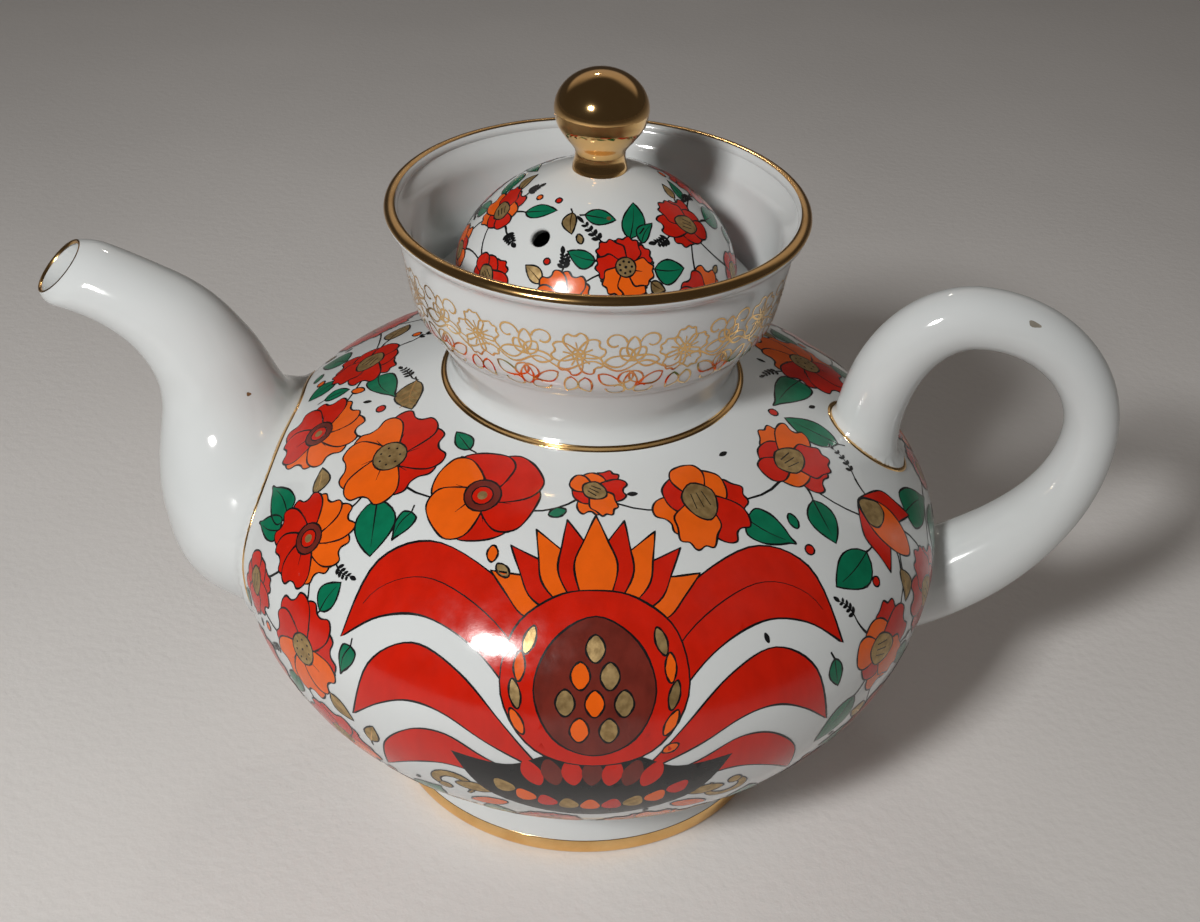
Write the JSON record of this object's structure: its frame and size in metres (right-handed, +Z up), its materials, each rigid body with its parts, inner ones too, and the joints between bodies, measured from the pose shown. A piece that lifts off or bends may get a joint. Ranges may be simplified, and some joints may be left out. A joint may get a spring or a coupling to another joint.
{
  "type": "teapot",
  "caption": "Round porcelain teapot with a flared collar, a loose domed lid under a gilded knob, a swan-neck spout, a loop handle and a painted flower ground.",
  "frame": {"origin": "on the pot's axis, in the plane of the foot ring's standing face", "axes": "+Z up along the pot's axis, -X towards the spout, +X towards the handle, +Y to the pot's left as seen from the spout's side"},
  "size_m": [0.2188, 0.146, 0.1567],
  "materials": {
    "porcelain": "clear glossy glaze over white porcelain, painted over the glaze on the belly, collar and lid",
    "gilding": "bright fired gold line, dark in the shade",
    "knob_gold": "porcelain knob gilded all over with mirror-bright fired gold"
  },
  "bodies": {
    "pot": {"belly": "porcelain", "foot_ring": "porcelain", "collar": "porcelain", "spout": "porcelain", "handle": "porcelain", "rim_gilding": "gilding", "collar_line_gilding": "gilding", "foot_gilding": "gilding", "spout_root_gilding": "gilding", "spout_mouth_gilding": "gilding", "handle_upper_gilding": "gilding", "handle_lower_gilding": "gilding"},
    "lid": {"lid_dome": "porcelain", "lid_flange": "porcelain", "lid_knob": "knob_gold"}
  },
  "joints": [
    {"name": "lid_lift", "type": "slide", "parent": "pot", "child": "lid", "axis": [0, 0, 1], "range_m": [0, 0.06]}
  ]
}
